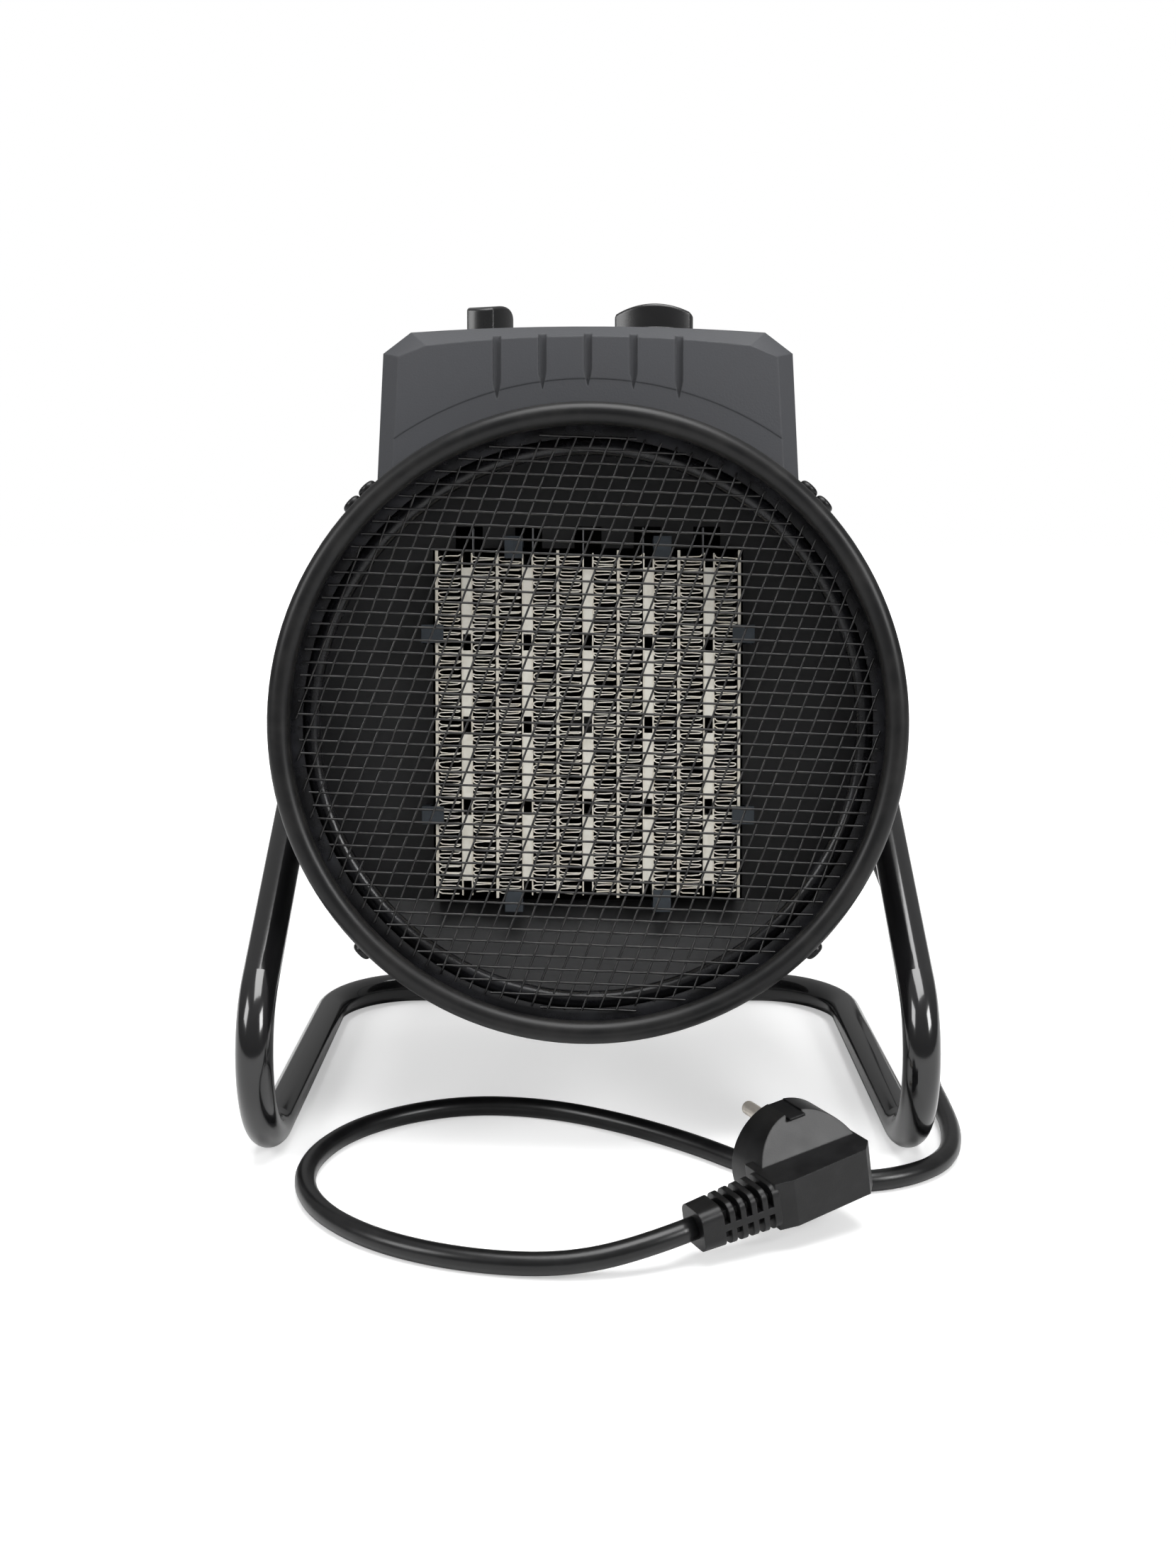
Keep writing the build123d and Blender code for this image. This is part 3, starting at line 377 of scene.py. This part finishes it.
def plug_pvc(colours):
    """Moulded PVC plug: black satin with a fine skin and rubbed edges."""
    return finish_of("plug_pvc", "0a0a0b", "1d1d1e", 0.36, grain=0.5, grain_height=0.03, patch=8,
                     spread=0.5, edge=0.6, specular=0.3)


def pin_nickel(colours):
    """Nickel plated brass pins: bright, warm grey, finely drawn."""
    return finish_of("pin_nickel", "ddd6cc", "b5aca0", 0.3, metallic=0.85, grain=0.5, patch=4,
                     spread=0.4)


FINISHES = {
    "stand_paint": stand_enamel,
    "drum_paint": drum_enamel,
    "rim_paint": rim_enamel,
    "mesh_wire": mesh_coating,
    "liner_sheet": liner_steel,
    "baffle_sheet": baffle_steel,
    "clip_plastic": clip_nylon,
    "ceramic": stone_ceramic,
    "fin_metal": fin_aluminium,
    "plate_metal": plate_aluminium,
    "zinc_steel": zinc_plate,
    "black_steel": black_oxide,
    "fan_plastic": fan_nylon,
    "core_steel": core_lamination,
    "copper_coil": coil_tape,
    "bronze": sintered_bronze,
    "box_plastic": box_abs,
    "knob_plastic": knob_abs,
    "switch_plastic": pale_thermoset,
    "cord_rubber": cord_pvc,
    "plug_rubber": plug_pvc,
    "pin_metal": pin_nickel,
}


def finish(slot):
    """The material of one of the record's slots, made once."""
    maker = FINISHES[slot]
    return bpy.data.materials.get(maker.__name__) or maker(bpy.context.scene.heater_colours)


# Pieces


def keep_piece(shape, name, slot, body, node=None, smooth=40):
    """Turns a bmesh in floor axes into a finished piece that rides on a body. It may stand for a
    CAD node."""
    mesh = bpy.data.meshes.new(name)
    shape.to_mesh(mesh)
    shape.free()
    piece = bpy.data.objects.new(name, mesh)
    bpy.context.scene.collection.objects.link(piece)
    mesh.materials.append(finish(slot))
    mesh.shade_smooth()
    mesh.set_sharp_from_angle(angle=math.radians(smooth))
    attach(piece, body)
    if node:
        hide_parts(node)
    return piece


def bar(radius, length, cuts, sides=6):
    """A closed round bar along Z, centred, with rings to bend it by."""
    part = bmesh.new()
    bmesh.ops.create_cone(part, cap_ends=True, segments=sides, radius1=radius, radius2=radius,
                          depth=length)
    long_edges = [e for e in part.edges if abs(e.verts[0].co.z - e.verts[1].co.z) > length / 2]
    bmesh.ops.subdivide_edges(part, edges=long_edges, cuts=cuts)
    return part


def join(shape, part):
    """Adds one bmesh to another, and frees it."""
    mesh = bpy.data.meshes.new("part")
    part.to_mesh(mesh)
    part.free()
    shape.from_mesh(mesh)
    bpy.data.meshes.remove(mesh)


def chord(limit, offset):
    """Half the length of a straight wire that passes the middle of the disc at offset."""
    return math.sqrt(max(limit * limit - offset * offset, 0.0))


class HEATER_OT_front_mesh(bpy.types.Operator):
    """Weave the front mesh: level wires and leaning wires that pass over and under each other"""
    bl_idname = "heater.front_mesh"
    bl_label = "Front mesh"

    def execute(self, context):
        sizes = context.scene.heater_sizes
        shape = bmesh.new()
        limit = sizes.mesh_radius
        fall = math.tan(sizes.row_tilt)
        lean = math.tan(sizes.lean)
        radius = sizes.wire / 2
        shortest = 6 * MM
        rings = 2.5  # to each crossing

        def depth(across, up, side):
            row = (up + across * fall) / sizes.row_pitch
            column = (across - up * lean) / sizes.lean_pitch
            return sizes.mesh_depth + side * sizes.weave * math.cos(math.pi * (row + column))

        rows = int(limit / sizes.row_pitch)
        for row in range(-rows, rows + 1):
            offset = row * sizes.row_pitch
            half = chord(limit, offset)
            if half < shortest:
                continue
            steps = int(half * 2 / (sizes.lean_pitch / rings))
            part = bar(radius, half * 2, steps)
            for vert in part.verts:
                across = vert.co.z
                up = offset - across * fall
                vert.co = Vector((across, depth(across, up, 1) + vert.co.x, up + vert.co.y))
            join(shape, part)
        columns = int(limit * (1 + lean) / sizes.lean_pitch)
        for column in range(-columns, columns + 1):
            offset = column * sizes.lean_pitch
            middle = offset * math.cos(sizes.lean)
            half = chord(limit, middle)
            if half < shortest:
                continue
            shift = -middle * math.sin(sizes.lean)
            steps = int(half * 2 / (sizes.row_pitch / rings))
            part = bar(radius, half * 2, steps)
            for vert in part.verts:
                up = (vert.co.z + shift) * math.cos(sizes.lean)
                across = offset + up * lean
                vert.co = Vector((across + vert.co.y, depth(across, up, -1) + vert.co.x, up))
            join(shape, part)
        bmesh.ops.transform(shape, matrix=DRUM, verts=shape.verts)
        bmesh.ops.recalc_face_normals(shape, faces=shape.faces)
        keep_piece(shape, "woven_front_mesh", "mesh_wire", "heater", "front_guard", smooth=80)
        return {"FINISHED"}


class HEATER_OT_fins(bpy.types.Operator):
    """Fold the aluminium fin strips of the element, one on each side of a column"""
    bl_idname = "heater.fins"
    bl_label = "Fins"
    # Between a strip and what it touches, in millimetres.
    GAP = 0.15
    # How uneven the strips are, in millimetres: how far a fold may fall short, sit off its place,
    # and how far a leaf may bow.
    SHORT = 0.35
    SHIFT = 0.22
    BOW = 0.3
    # The points of a leaf as shares of its width, and its drop and rise as shares of the pitch.
    LEAF = (0.12, 0.5, 0.86)
    LEAF_DROP = 0.34
    LEAF_RISE = 0.2
    # The two corners of a fold, as shares of the pitch.
    FOLD_LOW = 0.22
    FOLD_HIGH = 0.62

    def execute(self, context):
        sizes = context.scene.heater_sizes
        chance = random.Random(4)
        shape = bmesh.new()
        for column in range(sizes.columns):
            middle = (column - (sizes.columns - 1) / 2) * sizes.column_pitch
            for side in (-1, 1):
                near = middle + side * (sizes.stone / 2 + self.GAP * MM)
                far = middle + side * (
                    sizes.column_pitch / 2 - sizes.divider / 2 - self.GAP * MM
                )
                self.strip(shape, sizes, chance, near, far)
        bmesh.ops.solidify(shape, geom=shape.faces, thickness=sizes.fin_sheet)
        bmesh.ops.transform(shape, matrix=DRUM, verts=shape.verts)
        bmesh.ops.recalc_face_normals(shape, faces=shape.faces)
        keep_piece(shape, "folded_fins", "fin_metal", "heater", "heating_fins", smooth=60)
        return {"FINISHED"}

    def strip(self, shape, sizes, chance, near, far):
        """One strip: straight leaves joined by round folds, each a little uneven."""
        turns = 2 * sizes.folds
        pitch = sizes.fin_height / turns
        direction = 1 if far > near else -1
        width = abs(far - near)
        line = []
        for turn in range(turns):
            up = (turn + 0.5) * pitch - sizes.fin_height / 2
            reach = chance.uniform(0.0, self.SHORT) * MM
            tilt = chance.uniform(-self.SHIFT, self.SHIFT) * MM
            pull = chance.uniform(-self.BOW, self.BOW) * MM
            at_far = turn % 2 == 0
            for share in self.LEAF:
                along = share if at_far else 1 - share
                bow = math.sin(share * math.pi) * pull
                rise = up - pitch * self.LEAF_DROP + share * pitch * self.LEAF_RISE + bow + tilt
                line.append((near + direction * width * along, rise))
            end = far - direction * reach if at_far else near + direction * reach
            line.append((end, up + pitch * self.FOLD_LOW + tilt))
            line.append((end, up + pitch * self.FOLD_HIGH + tilt / 2))
        front = [shape.verts.new((x, sizes.fin_front, z)) for x, z in line]
        edges = [shape.edges.new(pair) for pair in zip(front[:-1], front[1:])]
        out = bmesh.ops.extrude_edge_only(shape, edges=edges)
        moved = [g for g in out["geom"] if isinstance(g, bmesh.types.BMVert)]
        bmesh.ops.translate(shape, vec=(0, sizes.fin_back - sizes.fin_front, 0), verts=moved)


class HEATER_OT_liner(bpy.types.Operator):
    """Spin the drum's inner sleeve with the rolled front edge that shines behind the mesh"""
    bl_idname = "heater.liner"
    bl_label = "Inner sleeve"

    def execute(self, context):
        shape = bmesh.new()
        outer = 101.5 * MM
        inner = 95.2 * MM
        front = 19 * MM
        back = 46 * MM
        sheet = 1 * MM
        roll = (outer - inner) / 2
        roll_steps = 8
        waist = (inner + 1.2 * MM, front + 2.6 * roll)
        outline = [(outer, back), (outer, front + roll)]
        for step in range(1, roll_steps):
            angle = math.pi * step / roll_steps
            outline.append((outer - roll + roll * math.cos(angle),
                            front + roll - roll * math.sin(angle)))
        outline += [(inner, front + roll), waist, (outer - sheet, back)]
        verts = [shape.verts.new((r, v, 0)) for r, v in outline]
        edges = [shape.edges.new(pair) for pair in zip(verts, verts[1:] + verts[:1])]
        bmesh.ops.spin(shape, geom=verts + edges, cent=(0, 0, 0), axis=(0, 1, 0), angle=math.tau,
                       steps=ROUND, use_merge=True)
        bmesh.ops.transform(shape, matrix=DRUM, verts=shape.verts)
        bmesh.ops.recalc_face_normals(shape, faces=shape.faces)
        keep_piece(shape, "inner_sleeve", "liner_sheet", "heater")
        return {"FINISHED"}


class HEATER_OT_deflector(bpy.types.Operator):
    """Cut the sloping plate under the element that throws the warm air forward"""
    bl_idname = "heater.deflector"
    bl_label = "Air deflector"

    def execute(self, context):
        edge = 100 * MM
        brink = -65.5 * MM
        slope = 0.5
        back = 47.4 * MM
        sheet = 1 * MM
        shape = bmesh.new()
        bmesh.ops.create_circle(shape, cap_ends=True, segments=ROUND, radius=edge,
                                matrix=Matrix.Rotation(math.pi / 2, 4, "X"))
        bmesh.ops.bisect_plane(shape, geom=shape.verts[:] + shape.edges[:] + shape.faces[:],
                               plane_co=(0, 0, brink), plane_no=(0, 0, 1), clear_outer=True)
        for vert in shape.verts:
            vert.co.y = back - (brink - vert.co.z) * slope
        bmesh.ops.solidify(shape, geom=shape.faces[:], thickness=sheet)
        bmesh.ops.transform(shape, matrix=DRUM, verts=shape.verts)
        bmesh.ops.recalc_face_normals(shape, faces=shape.faces)
        keep_piece(shape, "air_deflector", "baffle_sheet", "heater")
        return {"FINISHED"}


# The plug's place in millimetres, and its turn and dip in degrees.
PLUG_AT = (63, -122.4, 19)
PLUG_TURN = 206
PLUG_DIP = -9
# The cord's ends in millimetres, in the gland by the drum's axes and in the neck by the plug's,
# and how far the cord runs straight from each.
GLAND_AT = (58, 166.15, 102)
GLAND_RUN = 16
NECK_AT = (46.1, -22.8, 0)
NECK_RUN = 14
# Heights in millimetres of two points set straight above the cord's gland.
BLEND_LOW = 12
BLEND_HIGH = 214
# The cord's route between its two ends, in millimetres.
ROUTE = (
    (59, 141, 222.5), (64, 156, 206), (75, 164, 180), (90, 166, 151), (104, 165, 126),
    (120, 163, 100), (138, 157, 64), (150, 145, 32), (155, 124, 9.6), (154, 96, 3.6),
    (149, 60, 3.6), (141, 21, 3.6), (134, -18, 3.6), (133.5, -43, 3.6), (132, -68, 3.6),
    (126, -90, 3.6), (113, -104, 3.6), (94, -111.5, 3.6), (73, -109, 3.6), (55, -97, 3.6),
    (38, -79, 3.6), (14, -60, 3.6), (-13, -45.5, 3.6), (-42, -41, 3.6), (-67, -49.5, 3.6),
    (-86, -66, 3.6), (-96, -89, 3.6), (-96, -113, 3.6), (-86, -135, 3.6), (-68, -153, 3.6),
    (-45, -165, 3.6), (-20, -171, 3.8), (0, -172.3, 5.6),
)


def plug_place():
    """The matrix of the plug: X runs to the cord, Y the way the pins point, Z across the pins."""
    heading = Matrix.Rotation(math.radians(PLUG_TURN), 4, "Z")
    over = Matrix.Rotation(math.pi, 4, "X")
    dip = Matrix.Rotation(math.radians(PLUG_DIP), 4, "Y")
    return Matrix.Translation(Vector(PLUG_AT) * MM) @ heading @ over @ dip


def cord_route():
    """The control points of the cord's spline, in metres."""
    gland = DRUM @ (Vector(GLAND_AT) * MM)
    way = DRUM.to_3x3() @ Vector((0, 1, 0))
    plug = plug_place()
    neck = plug @ (Vector(NECK_AT) * MM)
    out = (plug.to_3x3() @ Vector((1, 0, 0))).normalized()
    middle = [Vector(point) * MM for point in ROUTE]
    return [gland, gland + way * GLAND_RUN * MM] + middle + [neck + out * NECK_RUN * MM, neck]


def route_curve(points, radius):
    """A smooth spline through the route, as a curve object. A radius gives it a round section."""
    data = bpy.data.curves.new("cord_route", "CURVE")
    data.dimensions = "3D"
    data.resolution_u = 6
    data.bevel_depth = radius
    data.bevel_resolution = 5
    data.use_fill_caps = True
    spline = data.splines.new("NURBS")
    spline.points.add(len(points) - 1)
    for slot, point in zip(spline.points, points):
        slot.co = (*point, 1)
    spline.order_u = 3
    spline.use_endpoint_u = True
    return bpy.data.objects.new("cord_route", data)


class HEATER_OT_cord(bpy.types.Operator):
    """Lay the mains cord from its gland, down behind the heater and round to the plug"""
    bl_idname = "heater.cord"
    bl_label = "Cord"

    def execute(self, context):
        sizes = context.scene.heater_sizes
        points = cord_route()
        line_curve = route_curve(points, 0)
        tube_curve = route_curve(points, sizes.cord / 2)
        for curve in (line_curve, tube_curve):
            context.scene.collection.objects.link(curve)
        context.view_layer.update()
        graph = context.evaluated_depsgraph_get()
        line = bpy.data.meshes.new_from_object(line_curve.evaluated_get(graph))
        mesh = bpy.data.meshes.new_from_object(tube_curve.evaluated_get(graph))
        for curve in (line_curve, tube_curve):
            bpy.data.objects.remove(curve)
        piece = bpy.data.objects.new("mains_cord", mesh)
        context.scene.collection.objects.link(piece)
        shape = bmesh.new()
        shape.from_mesh(mesh)
        bmesh.ops.remove_doubles(shape, verts=shape.verts, dist=0.01 * MM)
        bmesh.ops.recalc_face_normals(shape, faces=shape.faces)
        shape.to_mesh(mesh)
        shape.free()
        mesh.materials.clear()
        mesh.materials.append(finish("cord_rubber"))
        mesh.shade_smooth()
        # Two points straight above the gland, at the blend heights; nothing reads them.
        low, high = points[0].copy(), points[0].copy()
        low.z, high.z = BLEND_LOW * MM, BLEND_HIGH * MM
        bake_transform(piece)
        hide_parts("power_cord")
        return {"FINISHED"}


class HEATER_OT_finishes(bpy.types.Operator):
    """Give every carried over part the finish of its slot"""
    bl_idname = "heater.finishes"
    bl_label = "Finishes"

    def execute(self, context):
        slots = {part["node"]: part["material_slot"] for part in frame["record"]["subparts"]}
        # The earth springs lie in slots that the photograph shows as black as the plug.
        slots["plug_earth_springs"] = "plug_rubber"
        for name, node in frame["nodes"].items():
            material = finish(slots[name])
            if not node.material_slots:
                node.data.materials.append(material)
            for place in node.material_slots:
                place.material = material
        return {"FINISHED"}


# Stage

# Each lamp's name, place and aim in metres, width in metres, and power in watts.
LAMPS = (
    ("lamp_left", (-1.5, -0.9, 1.1), (0, 0, 0.12), 0.7, 14),
    ("lamp_right", (1.3, -1.1, 1.0), (0, 0, 0.12), 0.6, 18),
    ("lamp_top", (0.1, -0.35, 1.7), (0, 0, 0.1), 1.1, 30),
)
# The camera's place in metres and its dip in radians, its sensor's height in millimetres, and
# the photograph's height and focal length in pixels.
CAMERA_AT = (0, -0.6265, 0.2334)
CAMERA_DIP = 0.18
SENSOR = 36
PHOTO_HEIGHT = 2212
PHOTO_FOCAL = 2300
# From the middle of the background paper to its edge, in metres.
PAPER_REACH = 6
# The paper's own light, near the object and away from it, and where it changes, in metres.
GLOW_NEAR = 0.42
GLOW_AWAY = 1.0
GLOW_START = 0.3
GLOW_END = 1.1
# The surround's grey low down and overhead.
SKY_LOW = 0.1
SKY_HIGH = 0.5


def lamp(name, place, aim, size, power, colour):
    """A soft square lamp at place, turned to aim."""
    data = bpy.data.lights.new(name, "AREA")
    data.size = size
    data.energy = power
    data.color = colour
    made = bpy.data.objects.new(name, data)
    made.location = place
    made.rotation_euler = (Vector(aim) - Vector(place)).to_track_quat("-Z", "Y").to_euler()
    bpy.context.scene.collection.objects.link(made)


def paper():
    """Matt white background paper. It adds light of its own for the camera, more of it away from
    the object, so that the paper stays white and keeps the object's shadow."""
    material = bpy.data.materials.new("background_paper")
    material.use_nodes = True
    tree = material.node_tree
    tree.nodes.clear()
    ray = add(tree, "ShaderNodeLightPath")
    seen = add(tree, "ShaderNodeMath", {"operation": "MAXIMUM"},
               {0: ray.outputs["Is Camera Ray"], 1: ray.outputs["Is Transmission Ray"]})
    place = add(tree, "ShaderNodeTexCoord").outputs["Object"]
    away = add(tree, "ShaderNodeVectorMath", {"operation": "LENGTH"}, {0: place})
    level = add(tree, "ShaderNodeMapRange",
                {"interpolation_type": "SMOOTHSTEP", "From Min": GLOW_START, "From Max": GLOW_END,
                 "To Min": GLOW_NEAR, "To Max": GLOW_AWAY},
                {"Value": away.outputs["Value"]})
    glow = add(tree, "ShaderNodeMath", {"operation": "MULTIPLY"},
               {0: seen.outputs["Value"], 1: level.outputs["Result"]})
    matt = add(tree, "ShaderNodeBsdfDiffuse", {"Color": linear("e4e4e4")})
    own = add(tree, "ShaderNodeEmission", {"Color": linear("ffffff")},
              {"Strength": glow.outputs["Value"]})
    both = add(tree, "ShaderNodeAddShader", {},
               {0: matt.outputs["BSDF"], 1: own.outputs["Emission"]})
    add(tree, "ShaderNodeOutputMaterial", {}, {"Surface": both.outputs["Shader"]})
    return material


def sky():
    """A white background for the camera, and for all else a plain grey surround, paler above."""
    world = bpy.data.worlds.new("studio")
    world.use_nodes = True
    tree = world.node_tree
    tree.nodes.clear()
    ray = add(tree, "ShaderNodeLightPath")
    way = add(tree, "ShaderNodeTexCoord")
    axes = add(tree, "ShaderNodeSeparateXYZ", {}, {"Vector": way.outputs["Generated"]})
    level = add(tree, "ShaderNodeMapRange",
                {"From Min": -0.2, "From Max": 0.9, "To Min": SKY_LOW, "To Max": SKY_HIGH},
                {"Value": axes.outputs["Z"]})
    channels = {channel: level.outputs["Result"] for channel in ("Red", "Green", "Blue")}
    grey = add(tree, "ShaderNodeCombineColor", {}, channels)
    tint = add(tree, "ShaderNodeMix", {"data_type": "RGBA", 7: (1, 1, 1, 1)},
               {0: ray.outputs["Is Camera Ray"], 6: grey.outputs["Color"]})
    shine = add(tree, "ShaderNodeBackground", {"Strength": 1.0}, {"Color": tint.outputs[2]})
    add(tree, "ShaderNodeOutputWorld", {}, {"Surface": shine.outputs["Background"]})
    return world


class HEATER_OT_stage(bpy.types.Operator):
    """Set the white floor, the lamps, the surround and the photograph's camera"""
    bl_idname = "heater.stage"
    bl_label = "Stage"

    def execute(self, context):
        scene = context.scene
        scene.view_settings.view_transform = "Standard"
        scene.world = sky()
        shape = bmesh.new()
        bmesh.ops.create_grid(shape, x_segments=8, y_segments=8, size=PAPER_REACH)
        mesh = bpy.data.meshes.new("floor_paper")
        shape.to_mesh(mesh)
        shape.free()
        floor = bpy.data.objects.new("floor_paper", mesh)
        scene.collection.objects.link(floor)
        mesh.materials.append(paper())
        for settings in LAMPS:
            lamp(*settings, scene.heater_colours.lamp)
        data = bpy.data.cameras.new("photo_camera")
        data.sensor_fit = "VERTICAL"
        data.sensor_height = SENSOR
        data.lens = SENSOR * PHOTO_FOCAL / PHOTO_HEIGHT
        data.clip_end = 30
        camera = bpy.data.objects.new("photo_camera", data)
        camera.location = CAMERA_AT
        camera.rotation_euler = (math.pi / 2 - CAMERA_DIP, 0, 0)
        scene.collection.objects.link(camera)
        scene.camera = camera
        return {"FINISHED"}


class HEATER_PT_panel(bpy.types.Panel):
    """The heater's steps, in order"""
    bl_label = "Heater"
    bl_idname = "HEATER_PT_panel"
    bl_space_type = "VIEW_3D"
    bl_region_type = "UI"
    bl_category = "Heater"

    def draw(self, context):
        layout = self.layout
        for step in STEPS:
            layout.operator(step.bl_idname)
        for group in (context.scene.heater_sizes, context.scene.heater_colours):
            for name in group.__annotations__:
                layout.prop(group, name)


STEPS = (
    HEATER_OT_finishes,
    HEATER_OT_cord,
    HEATER_OT_front_mesh,
    HEATER_OT_fins,
    HEATER_OT_liner,
    HEATER_OT_deflector,
    HEATER_OT_stage,
)
GROUPS = (HeaterSizes, HeaterColours)


def register():
    for each in GROUPS + STEPS + (HEATER_PT_panel,):
        bpy.utils.register_class(each)
    bpy.types.Scene.heater_sizes = PointerProperty(type=HeaterSizes)
    bpy.types.Scene.heater_colours = PointerProperty(type=HeaterColours)


def unregister():
    del bpy.types.Scene.heater_colours
    del bpy.types.Scene.heater_sizes
    for each in reversed(GROUPS + STEPS + (HEATER_PT_panel,)):
        bpy.utils.unregister_class(each)


def main():
    register()
    for step in STEPS:
        group, name = step.bl_idname.split(".")
        getattr(getattr(bpy.ops, group), name)()


if __name__ == "__main__":
    main()
